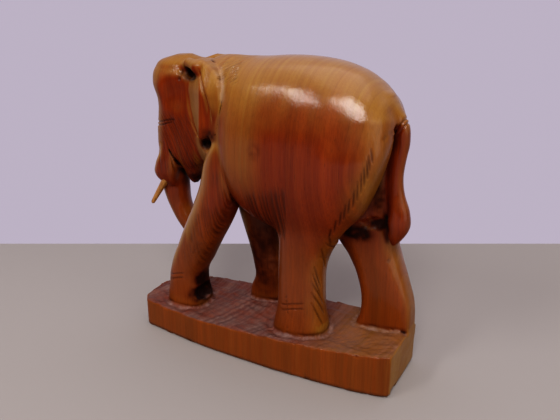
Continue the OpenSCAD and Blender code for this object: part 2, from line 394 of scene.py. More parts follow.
def feet_field(P):
    """Distance to the legs where they meet the base."""
    d = limb(P, LEFT_HIND, 2.25)
    for st, p in ((RIGHT_HIND, 4.3), (LEFT_FRONT, 2.15), (RIGHT_FRONT, 2.3)):
        d = np.minimum(d, limb(P, st, p))
    return d


def body_form(Q):
    """Barrel, neck, legs and tail."""
    qx, qy, qz = Q.T
    d = tub(Q, BARREL)
    d = smin(d, tub(Q, NECK), 7)
    # dark pocket below each ear, before the shoulder
    for s in (-1, 1):
        d = smax(d, -ball(Q, (-44, BODY_Y + s * 29, 164), (8.2, 11, 7.8)), 2)
    d = smin(d, limb(Q, LEFT_HIND, 2.3), 9)
    # the buttocks end in a ridge; behind it the wood is cut in towards the root of the tail
    edge_z = [96, 103, 110, 128, 140, 152, 171, 184, 190, 198]
    edge = curve(qz, edge_z, [72, 60, 64, 78.5, 84, 88.5, 94, 96.2, 98, 106])
    d = smax(d, qx - edge - 0.6 + 6.5 * step(-8.5, -3.5, qy) * (1 - step(186, 194, qz)), 2.2)
    rh = limb(Q, RIGHT_HIND, 2.5 + 2.0 * (1 - step(42, 90, qz)))
    # the sawn rear face of the block runs up the right hind leg
    rh = smax(rh, qx - 110.9, 1.0)
    d = smin(d, rh, 7)
    d = smin(d, limb(Q, LEFT_FRONT, 2.5), 1.6)
    d = smin(d, limb(Q, RIGHT_FRONT, 2.5), 3)
    # recess under the tail between the buttocks
    notch = rod(Q, (66, -6, 112), (84, -1, 117), 4.0, 5.5)
    notch = np.minimum(notch, rod(Q, (84, -1, 117), (96, 2, 115), 5.5, 4.5))
    d = smax(d, -(notch + 1.0 * noise3(Q / (3.2, 3.2, 2.6), 12.0)), 1.2)
    # the tail stays joined to the wood beside it and only its tuft stands free
    d = smin(d, limb(Q, TAIL, 2.2), 1.2 + 6.5 * step(112, 126, qz))
    # heel of the left fore foot is gouged in
    return smax(d, -ball(Q, (-55, -9, 35), (9.5, 15, 6.5)), 2.5)


def head_form(Q):
    """Head, trunk, jaw and lips, with the mouth cut in."""
    qx, qy, qz = Q.T
    head = limb(Q, SKULL, 2.15)
    head = smin(head, limb(Q, CHEEK, 3.0), 5)
    # temples and the hollow of the face under the brow
    for s in (-1, 1):
        head = smax(head, -ball(Q, (-74, BODY_Y + s * 31, 198), (13, 11.5, 15)), 7)
    head = smin(head, limb(Q, TRUNK), 4)
    head = smin(head, limb(Q, JAW), 4)
    # the mouth: a slanting slit between the trunk and the jaw, wider towards its lower end
    mid_x = [-71.5, -75.2, -77.2, -80.0, -82.6, -85.0, -86.6]
    mid = curve(qz, [118, 126, 130, 137, 144, 150.5, 154], mid_x)
    half = curve(qz, [118, 125, 133, 142, 152], [3.0, 2.4, 1.4, 0.6, 0.3])
    for s in (-1, 1):
        head = smin(head, lip(Q, s), 3)
        cut = np.maximum(np.maximum((np.abs(qx - mid) - half) * 0.85, qz - 152.5), 6.0 - s * (qy - BODY_Y))
        head = smax(head, -cut, 1.2)
    return head


def add_ear(d, Q, s):
    """Sets one ear on the form, with its hood, its hollow and the cuts round it."""
    qx, qy, qz = Q.T
    out_y = s * (qy - BODY_Y)
    d = smax(d, -ball(Q, (-45.5, BODY_Y + s * 27, 165), (4.6, 11, 5.2)), 1.5)
    # crease where the ear grows out of the cheek
    foot = curve(qz, [166, 172, 184, 195, 202, 213], [-51, -55, -58.5, -60.3, -61.3, -61])
    crease = np.hypot(qx - foot, out_y - 22.0) - 2.3
    crease = np.maximum(crease, np.abs(qz - 189) - 21)
    d = smax(d, -crease, 1.2)
    d = smin(d, ear(Q, s), 1.0)
    # hood from the brow to the top of the ear, over a deep hollow
    bend = (-60, BODY_Y + s * 18.5, 221)
    hood = np.minimum(
        rod(Q, (-68, BODY_Y + s * 11, 218), bend, 3.5, 4), rod(Q, bend, (-50, BODY_Y + s * 22.5, 219), 4, 5)
    )
    d = smin(d, hood, 4)
    d = smax(d, -ball(Q, (-57.6, BODY_Y + s * 24, 213.6), (7.2, 13, 4.6)), 1.0)
    # undercut between the ear's rear edge and the shoulder
    cutx = curve(qz, [170, 182, 200, 209, 216, 223], [-31.5, -25.6, -23.6, -25.4, -30, -37])
    rough = noise3(Q / (3, 3, 2.2), 7.0)
    wide = curve(qz, [172, 184, 198, 204, 222], [0.9, 0.7, 0.6, 0.6, 0.6])
    deep = curve(qz, [172, 184, 200, 212, 222], [29.5, 31, 31, 29.6, 26.5])
    seam = np.hypot(qx - cutx, out_y - deep) - wide - 0.45 * rough
    return smax(d, -np.maximum(seam, np.abs(qz - 197) - 24), 0.8)


def field(P):
    """About the distance in mm from the smooth form's skin, negative inside."""
    z = P[:, 2]
    out = np.full(len(P), 60.0)
    high = z > 14
    Q = P[high]
    d = smin(body_form(Q), head_form(Q), 3.5)
    for s in (-1, 1):
        d = add_ear(d, Q, s)
    out[high] = d
    low = z < 60
    L = P[low]
    out[low] = smin(out[low], plinth(L, feet_field(L)), 1.0)
    return np.maximum(out, -z)


def gradient(P, e=0.05):
    g = np.empty_like(P)
    for a in range(3):
        h = np.zeros(3)
        h[a] = e
        g[:, a] = (field(P + h) - field(P - h)) / (2 * e)
    return g


# ---- carved detail ----


def strokes(s, pitch, sharp):
    """Row of V cuts across s, 0..1, with uneven spacing."""
    ph = s / pitch
    ph = ph + 0.22 * np.sin(ph * 1.7) + 0.13 * np.sin(ph * 4.1 + 1)
    return (0.5 + 0.5 * np.cos(2 * np.pi * ph)) ** sharp


def groove(s, w):
    return np.maximum(0, 1 - np.abs(s) / w)


def reach(x, z, side):
    """Points of the skin met when coming in level from one side at x, z."""
    y = np.full(len(x), BODY_Y + side * 48.0)
    for _ in range(40):
        y = y - side * 0.8 * np.clip(field(np.stack([x, y, z], 1)), 0, 20)
    return np.stack([x, y, z], 1)


def knife_cuts():
    """Cuts down the backs of the thighs and the left shank, as (upper end, lower end) pairs on the skin."""
    rows = []
    thigh = (
        12, [88.5, 86.3, 82.8, 76.8, 69.8, 60.4], [173, 163, 153, 140, 129, 113],
        [10, 13, 17, 14, 13.5, 13], [-10, -1, 3, 9, 14, 18],
    )
    shank = (
        9, [58.5, 52, 49, 48, 49.5], [105.5, 90.5, 75, 62, 45],
        [12, 20, 21, 23, 23], [10, 6, -8, -14, -18],
    )
    for count, xs, zs, lengths, leans in (thigh, shank):
        f = np.linspace(0, len(xs) - 1, count)
        knots = range(len(xs))
        x, z, length, lean = (np.interp(f, knots, v) for v in (xs, zs, lengths, leans))
        h = hash01(np.arange(count), 3.0) - 0.5
        length = length + 1.5 * h
        x = x + 0.5 * h
        dx = 0.5 * length * np.sin(np.radians(lean))
        dz = 0.5 * length * np.cos(np.radians(lean))
        # the right shank has none
        for side in (-1, 1) if xs is thigh[1] else (-1,):
            rows += list(zip(reach(x + dx, z + dz, side), reach(x - dx, z - dz, side)))
    return rows


def cut_head(P, N, dep):
    """Cuts on the trunk's root, the cheeks and the withers."""
    x, y, z = P.T
    q = np.abs(y - BODY_Y)
    wob = noise3(P / 9.0, 1.0)
    fine = noise3(P / (3.0, 3.0, 9.0), 2.0)
    # a pair of creases round the root of the trunk
    for off in (0.0, 2.7):
        rise = [167.6 + off, 170.2 + off, 172.0 + off, 174.2 + off * 0.9, 176.6 + off * 0.6]
        s = z - curve(x, [-108, -100, -91, -84, -76], rise)
        m = (x < -74) * (1 - step(-80 + off, -76 + off, x)) * (z > 150)
        dep += 0.95 * groove(s, 1.1) * m
    # fan of cuts over the cheek and jaw
    s = x + 0.006 * (z - 130) ** 2 * 0.9
    m = window(x, -97, -58, 4) * window(z, 134, 181, 5) * step(8, 12, q) * step(-0.1, 0.3, np.abs(N[:, 1]))
    m = m * (1 - window(x, -200, -91, 2) * (z > 158))
    dep += 0.85 * strokes(s + 0.5 * wob, 2.7, 1.5) * m * (0.75 + 0.4 * fine)
    # rows of short cuts on the withers behind the ears
    s = -0.60 * x + 0.80 * (z - 0.55 * q)
    m = window(x + 0.35 * (z - 215), -31, -13, 2.5) * step(208, 212, z) * step(6, 9, q)
    dep += 0.75 * strokes(s + 0.4 * wob, 2.7, 1.6) * m * (0.75 + 0.5 * fine)


def cut_flanks(P, N, cuts, dep):
    """Cuts on the fore legs, the belly, the thighs and the left shank."""
    x, y, z = P.T
    q = np.abs(y - BODY_Y)
    wob = noise3(P / 9.0, 1.0)
    # long upright cuts down the outer faces of the front legs
    uneven = 0.75 + 0.5 * noise3(P / (4.0, 4.0, 16.0), 9.0)
    for st, side in ((LEFT_FRONT, -1), (RIGHT_FRONT, 1)):
        _, angle, share = about_limb(P, st, side)
        m = window(z, 62, 148, 9) * window(angle, 0.3, 1.9, 0.25) * (share < 1.25) * (z < 160)
        dep += 0.85 * strokes(x + 0.4 * wob + 0.05 * z, 2.4, 1.3) * m * uneven
    # flutes on the belly before the thigh: gouge cuts with thin crests left between them
    thigh_edge = curve(z, [105, 125, 146], [26, 30, 32])
    m = step(-10, 0, x) * (1 - step(thigh_edge - 1.5, thigh_edge, x)) * step(11, 17, q)
    m = m * (1 - step(-6, 6, z - 144 + 0.28 * (32 - x))) * step(99, 106, z)
    dep += (0.9 - 0.78 * strokes(x + 0.25 * wob, 3.5, 1.8)) * m
    # single cuts along the backs of the thighs and the left shank
    for top, low in cuts:
        along = unit((low - top)[None])[0]
        length = np.linalg.norm(low - top)
        rel = P - top
        near = (np.abs((rel * N).sum(1)) < 7) & (np.abs(rel @ along - length / 2) < length / 2)
        rel = rel[near]
        across = unit(np.cross(along, N[near]))
        v = 2 * (rel @ along) / length - 1
        slot = 1.15 * groove((rel * across).sum(1), 1.15) * np.sqrt(np.maximum(1 - v * v, 0))
        dep[near] = np.maximum(dep[near], slot)


def cut_creases(P, dep):
    """Creases of the ankles and the tail, and the eyes."""
    x, y, z = P.T
    q = np.abs(y - BODY_Y)
    # two short creases over each ankle, on the front and outer side
    ankles = (
        (LEFT_FRONT, -1, 52.3, 1.9), (LEFT_HIND, -1, 52.6, 1.62),
        (RIGHT_FRONT, 1, 51.0, 1.8), (RIGHT_HIND, 1, 50.0, 1.6),
    )
    for st, side, height, aim in ankles:
        xc, angle, share = about_limb(P, st, side)
        on = (share < 1.3) * window(angle, aim - 0.56, aim + 0.56, 0.07)
        for off in (0.0, 4.2):
            dep += 0.95 * groove(z - height + off - 0.29 * (x - xc) - 0.3 * np.sin(angle * 5), 1.0) * on
    # two creases over the root of the tail
    on = step(84, 90, x) * (1 - step(4, 8, y - BODY_Y)) * window(z, 181, 201, 2.5)
    for off in (0.0, 2.6):
        dep += 0.9 * groove(((z - 190) - 1.5 * (x - 98)) / 1.8 + off, 1.0) * on
    # eyes: two small gouges below the brow
    for ex, ez in ((-68.4, 214.2), (-69.3, 209.4)):
        dep += 1.6 * np.exp(-(((x - ex) / 1.4) ** 2 + ((z - ez) / 1.9) ** 2)) * step(9, 12, q)


def cut_base(P, N, dep):
    """Gouge cuts on the base."""
    x, y, z = P.T
    wob = noise3(P / 9.0, 1.0)
    # over the top
    flat = step(0.45, 0.8, N[:, 2]) * (z < 45) * (z > 12)
    g = scallop(x + 3 * wob, y + 0.16 * x, 15.0, 6.5, 1.0)
    g2 = scallop(x + 0.3 * y, y, 6.0, 4.0, 8.0)
    amp = 1.35 - 0.6 * step(30, 70, x)
    sweep = y + 0.30 * x + 5 * np.sin(x / 23.0) + 1.2 * wob
    lines = strokes(sweep, 2.7, 1.2) * (1 - step(44, 56, x))
    lines = lines * step(0.15, 0.6, noise3(P / (16.0, 9.0, 30.0), 41.0) + 0.45)
    dep += flat * (amp * (1 - g) + 0.30 * (1 - g2) + 0.42 * lines)
    # growth rings standing out on the rear part of the top
    dep += flat * 0.45 * strokes(np.hypot(x - 116, y + 54) + 0.6 * wob, 4.4, 1.6) * step(50, 60, x)
    # splintered near edge amidships
    edge = np.exp(-((poly2(x, y, OUTLINE) + 0.5) / 2.0) ** 2 - ((z - base_top(x, y)) / 2.4) ** 2)
    chip = step(0.0, 0.5, noise3(P / (5.0, 4.0, 3.0), 21.0)) * edge
    dep += 1.1 * chip * (y < 0) * window(x, -30, 50, 12)


def detail(P, N, cuts):
    """Depth of cut below the smooth form in mm."""
    x, y, z = P.T
    dep = np.zeros(len(P))
    cut_head(P, N, dep)
    cut_flanks(P, N, cuts, dep)
    cut_creases(P, dep)
    cut_base(P, N, dep)
    # soft knife facets above the base, faint waviness all over
    facet = scallop(x + y * 0.6, z, 13.0, 17.0, 3.0)
    dep += 0.16 * (1 - facet) * (z > 34) * (1 - step(150, 190, z) * (x > -40))
    dep += 0.12 * noise3(P / (11.0, 11.0, 40.0), 4.0)
    return dep


# ---- meshing ----


def surface_net(lo, hi, h):
    """Skin of the form on a grid of step h: one vertex to each cell that it crosses."""
    n = [int(math.ceil((hi[a] - lo[a]) / h)) + 1 for a in range(3)]
    ax = [lo[a] + h * np.arange(n[a]) for a in range(3)]
    G = np.stack(np.meshgrid(*ax, indexing="ij"), -1).reshape(-1, 3)
    F = np.concatenate([field(part) for part in np.array_split(G, 6)]).reshape(n)
    S = F < 0
    solid = 0
    for a, b, c in np.ndindex(2, 2, 2):
        solid = solid + S[a : n[0] - 1 + a, b : n[1] - 1 + b, c : n[2] - 1 + c].astype(int)
    # the skin crosses a cell that has some of its eight corners inside
    cells = np.argwhere((solid > 0) & (solid < 8))
    ids = -np.ones(solid.shape, int)
    ids[tuple(cells.T)] = np.arange(len(cells))
    acc = np.zeros((len(cells), 3))
    cnt = np.zeros(len(cells))
    for a, p, r in np.ndindex(3, 2, 2):
        o1, o2 = [i for i in range(3) if i != a]
        c0 = cells.copy()
        c0[:, o1] += p
        c0[:, o2] += r
        c1 = c0.copy()
        c1[:, a] += 1
        f0 = F[tuple(c0.T)]
        f1 = F[tuple(c1.T)]
        hit = (f0 < 0) != (f1 < 0)
        pt = c0.astype(float)
        pt[:, a] += np.where(hit, f0 / np.where(hit, f0 - f1, 1), 0)
        acc += pt * hit[:, None]
        cnt += hit
    V = np.array(lo) + h * acc / cnt[:, None]
    quads = []
    for a in range(3):
        o1, o2 = (a + 1) % 3, (a + 2) % 3
        sl0 = [slice(None)] * 3
        sl1 = [slice(None)] * 3
        sl0[a] = slice(0, -1)
        sl1[a] = slice(1, None)
        e = np.argwhere(S[tuple(sl0)] != S[tuple(sl1)])
        e = e[(e[:, o1] > 0) & (e[:, o2] > 0) & (e[:, o1] < n[o1] - 1) & (e[:, o2] < n[o2] - 1)]
        inside = S[tuple(e.T)]
        corners = []
        for p, r in ((-1, -1), (0, -1), (0, 0), (-1, 0)):
            c = e.copy()
            c[:, o1] += p
            c[:, o2] += r
            corners.append(ids[tuple(c.T)])
        Q = np.stack(corners, 1)
        quads.append(np.where(inside[:, None], Q, Q[:, ::-1]))
    Q = np.concatenate(quads)
    d1 = np.linalg.norm(V[Q[:, 0]] - V[Q[:, 2]], axis=1)
    d2 = np.linalg.norm(V[Q[:, 1]] - V[Q[:, 3]], axis=1)
    T = np.where((d1 < d2)[:, None], Q[:, [0, 1, 2, 0, 2, 3]], Q[:, [0, 1, 3, 1, 2, 3]])
    return V, T.reshape(-1, 3)


def settle(V):
    """Moves the vertices onto the skin."""
    for _ in range(2):
        f = field(V)
        g = gradient(V)
        n2 = np.maximum((g * g).sum(1), 0.2)
        V = V - np.clip(f / n2, -1.2, 1.2)[:, None] * g
    return V


def refine(V, T, want):
    """Splits the edges whose middles are wanted; neighbours are split to match."""
    E = np.sort(np.concatenate([T[:, [0, 1]], T[:, [1, 2]], T[:, [2, 0]]]), 1)
    U, inv = np.unique(E, axis=0, return_inverse=True)
    inv = inv.reshape(3, -1).T
    A = V[U[:, 0]]
    B = V[U[:, 1]]
    mid = (A + B) / 2
    m = want(mid, np.linalg.norm(A - B, axis=1))
    new = np.where(m, len(V) + np.cumsum(m) - 1, -1)
    V2 = np.concatenate([V, mid[m]])
    M = m[inv]
    nid = new[inv]
    out = [T[~M.any(1)]]
    for r in range(3):
        a, b, c = T[:, r], T[:, (r + 1) % 3], T[:, (r + 2) % 3]
        ab, bc, ca = nid[:, r], nid[:, (r + 1) % 3], nid[:, (r + 2) % 3]
        mab, mbc, mca = M[:, r], M[:, (r + 1) % 3], M[:, (r + 2) % 3]
        k = mab & ~mbc & ~mca
        out += [np.stack([a, ab, c], 1)[k], np.stack([ab, b, c], 1)[k]]
        k = mab & mbc & ~mca
        out += [np.stack([ab, b, bc], 1)[k], np.stack([a, ab, bc], 1)[k], np.stack([a, bc, c], 1)[k]]
    k = M.all(1)
    a, b, c = T[k].T
    ab, bc, ca = nid[k].T
    out += [np.stack(t, 1) for t in ((a, ab, ca), (ab, b, bc), (ca, bc, c), (ab, bc, ca))]
    return V2, np.concatenate(out)


def enclosed(P, N):
    """How hemmed in each point is, from the room left above it: near within 2.5 mm, wide within 9 mm."""
    near = 1 - field(P + N * 2.5) / 2.5
    wide = 1 - (field(P + N * 9.0) / 9.0 + field(P + N * 5.0) / 5.0) / 2
    return np.clip(near, 0, 1), np.clip(wide, 0, 1)


# where the carving is fine: level, x, z, distance from the middle plane, whether on the left side only
ZONES = (
    (1, (-120, -22), (64, 240), (0, 60), False),  # head, ears and front of the fore legs
    (1, (-120, -6), (204, 240), (0, 60), False),  # withers
    (1, (-120, 120), (21, 42), (0, 60), False),  # top of the base
    (1, (70, 120), (100, 240), (0, 15), False),  # tail
    (1, (-120, 120), (44, 58), (14, 60), False),  # ankles
    (1, (-6, 34), (98, 148), (12, 60), False),  # belly
    (2, (-120, 120), (45.5, 56), (18, 60), False),  # ankle creases
    (2, (-33, -8), (207, 240), (5, 30), False),  # cuts on the withers
    (2, (-8, 31), (104, 146), (16, 60), True),  # flutes on the belly
    (2, (-106, -56), (132, 184), (7, 60), True),  # cheek
    (2, (-68, -22), (164, 240), (14, 60), True),  # ear
    (2, (88, 120), (181, 203), (0, 8), False),  # root of the tail
)


def zone(P, cuts):
    """Where the carving is fine: 2 very fine, 1 fine, 0 plain."""
    x, y, z = P.T
    q = np.abs(y - BODY_Y)
    a = np.zeros(len(P))
    for level, (x0, x1), (z0, z1), (q0, q1), left_only in ZONES:
        inside = (x > x0) & (x < x1) & (z > z0) & (z < z1) & (q >= q0) & (q < q1)
        a[inside & ((y < BODY_Y) | (not left_only))] = level
    _, angle, share = about_limb(P, LEFT_FRONT, -1)
    a[(angle > 0.3) & (angle < 1.8) & (z > 92) & (z < 152) & (share < 1.25)] = 2
    for top, low in cuts:
        d = rod(P, top, low, 0, 0)
        a[d < 5] = np.maximum(a[d < 5], 1)
        a[d < 2.6] = 2
    return a


# lengths of the mesh's edges, and the height under which the bottom is made flat
GRID = 2.8
FINE = 1.35
VERY_FINE = 0.75
FLAT_BELOW = 0.6


def build_block():
    """Vertices, triangles, normals of the smooth form and depth of cut."""
    cuts = knife_cuts()
    V, T = surface_net((-116, -46, -3), (116, 52, 235), GRID)
    V = settle(V)
    V, T = refine(V, T, lambda P, L: (zone(P, cuts) > 0) & (L > FINE))
    V = settle(V)
    V, T = refine(V, T, lambda P, L: (zone(P, cuts) > 1) & (L > VERY_FINE))
    V = settle(V)
    N = unit(gradient(V, 0.25))
    dep = detail(V, N, cuts)
    V = V - N * dep[:, None]
    V[:, 2] = np.where(V[:, 2] < FLAT_BELOW, 0.0, V[:, 2])
    return V, T, N, dep


def make_mesh(name, V, T):
    me = bpy.data.meshes.new(name)
    me.vertices.add(len(V))
    me.vertices.foreach_set("co", (V * MM).astype(np.float32).ravel())
    me.loops.add(len(T) * 3)
    me.loops.foreach_set("vertex_index", T.astype(np.int32).ravel())
    me.polygons.add(len(T))
    me.polygons.foreach_set("loop_start", np.arange(0, len(T) * 3, 3, dtype=np.int32))
    me.update(calc_edges=True)
    me.validate()
    me.shade_smooth()
    ob = bpy.data.objects.new(name, me)
    bpy.context.scene.collection.objects.link(ob)
    return ob


# places painted dark, as centre, radii and strength: painted shade in the recesses, pockets and hollows, and
# old black polish and dirt on the fore legs
SHADED_AND_BLACKENED = [
    ((-58, -12, 47), (5, 16, 7), 1.1), ((-60, -9, 34), (10, 17, 8), 1.7),  # heel of the left fore foot
    ((-16, 12, 66), (20, 9, 36), 0.75),  # inner side of the right fore leg
    ((68, 0, 108), (15, 9, 7), 1.2), ((88, 3, 116), (10, 8, 5), 1.5),  # groin and notch under the tail
    ((89, -4, 162), (5, 5, 24), 0.85), ((86, -3, 136), (8, 7, 17), 0.9),  # recess beside the tail
    ((-72, 4, 125), (13, 16, 11), 1.1),  # under the jaw
]
for s in (-1, 1):
    # hollow, pocket and lower edge of each ear
    SHADED_AND_BLACKENED += [
        ((-57.6, BODY_Y + s * 19, 214), (8.5, 8, 5.4), 1.7),
        ((-46, BODY_Y + s * 21, 162.5), (5, 9, 4.2), 1.0),
        ((-37, BODY_Y + s * 29, 172), (8, 7, 5), 0.7),
    ]


def painted_light_map(V, N, patch, dust_and_painted_sheen, painted_shade_and_grime):
    """Painted light: where the wood is painted pale gold, on the faces turned up and towards the lights, and
    on the edges that lead.
    """
    x, y, z = V.T
    q = np.abs(y - BODY_Y)
    front = -N[:, 0]
    rear = N[:, 0]
    # painted light: faces turned up to the lights are paler
    painted_light_and_wear = step(0.05, 0.80, N[:, 2] + 0.08 * patch) * step(60, 150, z)
    # painted light on the rump, the rear end of the base and the edges that face the rear, towards the
    # lights
    painted_light_and_wear += 0.38 * step(0.30, 1.0, rear + 0.1 * patch) * (1 - step(150, 190, z)) * step(-24, -20, x)
    painted_light_and_wear += 0.35 * step(0.7, 0.9, rear) * (z < 36)
    painted_light_and_wear += 0.42 * step(0.15, 0.6, rear) * step(120, 150, z)
    # painted light on the face, the front of each ear and the front of the left fore leg
    painted_light_and_wear += 0.85 * step(0.22, 0.62, front + 0.06 * patch) * step(50, 70, z) * (1 - step(-32, -22, x))
    painted_light_and_wear += 0.45 * step(-0.1, 0.3, front) * window(z, 84, 168, 10) * (1 - step(-28, -22, x)) * (x > -62)
    # painted light on the flap of each ear, a little of the legs and of the sides of the base, and the
    # shoulder
    flap = step(-1, 2, x - ear_ridge(z)) * (1 - step(-24, -20, x))
    painted_light_and_wear += 0.5 * flap * window(z, 190, 222, 6) * step(18, 22, q)
    painted_light_and_wear += 0.2 * (1 - step(80, 130, z)) + 0.08 * (1 - step(28, 34, z))
    painted_light_and_wear += 0.45 * window(x, -24, 8, 10) * step(120, 160, z) * step(10, 20, q)
    painted_light_and_wear = np.clip(painted_light_and_wear, 0, 1) * (1 - dust_and_painted_sheen) + 0.6 * dust_and_painted_sheen * step(30, 75, x)
    tail = (x > 88) * (q < 10) * window(z, 102, 184, 3)
    return painted_light_and_wear * (1 - 0.8 * np.clip(painted_shade_and_grime, 0, 1)) * (1 - 0.6 * tail)


def wear_and_painted_light_maps(V, N, dep):
    """Wear and painted light by vertex: dust, with a painted sheen, lies on flat low places; painted shade
    darkens cuts and corners, with dirt in a few of them; pale wax lies along the seams; painted light gilds
    the faces towards the lights.
    """
    x, y, z = V.T
    q = np.abs(y - BODY_Y)
    near, wide = enclosed(V, N)
    patch = noise3(V / (7.0, 7.0, 11.0), 31.0)
    speck = noise3(V / (2.6, 2.6, 2.6), 37.0)
    # dust, with a painted sheen, on the flat low places of the base top
    dust_and_painted_sheen = step(0.3, 0.75, N[:, 2]) * (1 - step(1.5, 3.0, z - base_top(x, y))) * (z > 14)
    # painted shade in the carved cuts, darker the deeper they go
    cut = np.clip((dep - 0.25 + 0.12 * (x < -56) * (z > 130)) / 0.85, 0, 1) * (1 - dust_and_painted_sheen)
    # painted shade: darker where the skin is hemmed in, in corners, cuts and recesses
    painted_shade_and_grime = 0.85 * step(0.35, 0.95, near) + 0.75 * step(0.45, 1.0, wide) * (0.75 + 0.5 * patch)
    painted_shade_and_grime = np.clip(painted_shade_and_grime, 0, 1) * (1 - dust_and_painted_sheen)
    # painted shade, and polish and dirt on the fore legs, darken the listed places
    for c, r, a in SHADED_AND_BLACKENED:
        e = ((x - c[0]) / r[0]) ** 2 + ((y - c[1]) / r[1]) ** 2 + ((z - c[2]) / r[2]) ** 2
        black = a * np.exp(-e * e) * np.clip(0.9 + 0.35 * patch + 0.45 * speck, 0, 1.2)
        painted_shade_and_grime = np.maximum(painted_shade_and_grime, black * (1 - step(0.3, 0.8, dust_and_painted_sheen)))
    # a small knot on the left flank
    knot = np.hypot(x - 7.8, (z - 169) * 0.8)
    ring = np.exp(-(((knot - 3.4) / 1.5) ** 2)) * (y < BODY_Y - 20)
    painted_shade_and_grime = np.maximum(painted_shade_and_grime, (0.2 + 0.2 * speck) * ring)
    # pale dust in the trench round each foot
    trench = np.exp(-(((feet_field(V) - 2.0) / 1.6) ** 2)) * dust_and_painted_sheen
    trench *= np.clip(0.25 + 0.9 * speck + 0.6 * patch, 0, 1)
    painted_light_and_wear = painted_light_map(V, N, patch, dust_and_painted_sheen, painted_shade_and_grime)
    # pale wax left along the seam behind each ear
    seam_x = curve(z, [196, 200, 209, 216, 223], [-23.6, -23.6, -25.4, -30, -37])
    wax_and_painted_sheen = np.exp(-(((x - seam_x) / 1.9) ** 2)) * window(z, 198, 220, 3) * step(14, 18, q)
    wax_and_painted_sheen = wax_and_painted_sheen * np.clip(0.75 + 0.5 * speck, 0, 1)
    painted_shade_and_grime = painted_shade_and_grime * (1 - 0.8 * wax_and_painted_sheen)
    # painted sheen: a thin pale reflection on the front face of each ear, the front of the left fore leg and
    # the back
    ear_face = window(x, -62, -41, 2) * window(z, 172, 206, 4) * step(18, 21, q)
    wax_and_painted_sheen += (0.22 + 0.12 * patch) * step(0.35, 0.6, -N[:, 0]) * ear_face
    wax_and_painted_sheen += 0.2 * step(0.0, 0.4, -N[:, 0]) * window(z, 96, 160, 10) * (1 - step(-28, -22, x)) * (x > -62)
    wax_and_painted_sheen += 0.28 * step(0.35, 0.9, N[:, 2]) * step(150, 200, z) * (x > -60)
    # how much of the gloss is left: little on the base, the undersides, the ears and the fine carving
    gloss = (0.25 + 0.75 * step(36, 62, z)) * (0.05 + 0.95 * step(-0.5, 0.05, N[:, 2]))
    gloss *= 1 - 0.6 * (x < -22) * (z > 168) * (q > 21)
    gloss *= 1 - 0.6 * window(x, -34, -10, 3) * step(200, 206, z)
    gloss *= 1 - 0.6 * (1 - step(-27, -21, x)) * step(140, 160, z)
    return {
        "painted_light_and_wear": painted_light_and_wear, "dust_and_painted_sheen": dust_and_painted_sheen * (1 - 0.45 * step(30, 75, x)), "cut": cut, "painted_shade_and_grime": np.clip(painted_shade_and_grime, 0, 1),
        "trench": trench, "wax_and_painted_sheen": np.clip(wax_and_painted_sheen, 0, 1), "gloss": gloss,
    }


def carving():
    V, T, N, dep = build_block()
    ob = make_mesh("elephant_carving", V, T)
    for name, v in wear_and_painted_light_maps(V, N, dep).items():
        att = ob.data.attributes.new(name, "FLOAT", "POINT")
        att.data.foreach_set("value", v.astype(np.float32))
    return ob


block = carving()

# ---- tusks ----


def build_tusk(node, name):
    """A whittled peg along the CAD tusk's own axis: slightly faceted, blunt and rounded at the tip."""
    co = np.array([v.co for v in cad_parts[node].data.vertices], float)
    lo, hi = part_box(node)
    mid = np.array((lo + hi) / 2)
    _, vec = np.linalg.eigh(np.cov((co - co.mean(0)).T))
    ax = vec[:, 2] if vec[2, 2] < 0 else -vec[:, 2]
    t = (co - mid) @ ax
    side = np.cross(ax, (0, 1, 0))
    side /= np.linalg.norm(side)
    up = np.cross(ax, side)
    # whittled a little more forward than the axis of its hole, and a little longer
    ax = ax + np.array((-0.05, 0, 0))
    ax /= np.linalg.norm(ax)
    longer = 2.6
    length = 38.08
    root_r = 3.55
    taper = 1.95
    round_from = 0.93
    facets = 7
    rows = cols = 40
    far = t.max() + longer * MM
    near = far - length * MM
    verts = []
    for i in range(rows):
        s = i / (rows - 1)
        along = far - length * MM * (1 - s)
        tip = max(0.0, (s - round_from) / (1 - round_from))
        r = (root_r - taper * s) * MM * math.sqrt(max(0.0, 1 - tip * tip * 0.96))
        for j in range(cols):
            a = 2 * math.pi * j / cols
            part = (a * facets / (2 * math.pi) + 0.15 * math.sin(5 * s)) % 1 - 0.5
            face = math.cos(part * 2 * math.pi / facets) ** -1
            f = 0.955 * min(face, 1.06) + 0.012 * math.sin(9 * s + 3 * a)
            verts.append(mid + ax * along + (side * math.cos(a) + up * math.sin(a)) * r * f)
    verts.append(mid + ax * near)
    verts.append(mid + ax * far)
    faces = []
    for i in range(rows - 1):
        for j in range(cols):
            k = (j + 1) % cols
            faces.append((i * cols + j, i * cols + k, (i + 1) * cols + k, (i + 1) * cols + j))
    for j in range(cols):
        k = (j + 1) % cols
        faces.append((rows * cols, j, k)[::-1])
        faces.append((rows * cols + 1, (rows - 1) * cols + k, (rows - 1) * cols + j)[::-1])
    me = bpy.data.meshes.new(name)
    me.from_pydata([tuple(v) for v in verts], [], faces)
    me.update()
    me.shade_smooth()
    ob = bpy.data.objects.new(name, me)
    bpy.context.scene.collection.objects.link(ob)
    bm = bmesh.new()
    bm.from_mesh(me)
    bmesh.ops.recalc_face_normals(bm, faces=bm.faces)
    bm.to_mesh(me)
    bm.free()
    return ob


left = build_tusk("left_tusk", "tusk_left_whittled")
right = build_tusk("right_tusk", "tusk_right_whittled")

# ---- materials ----


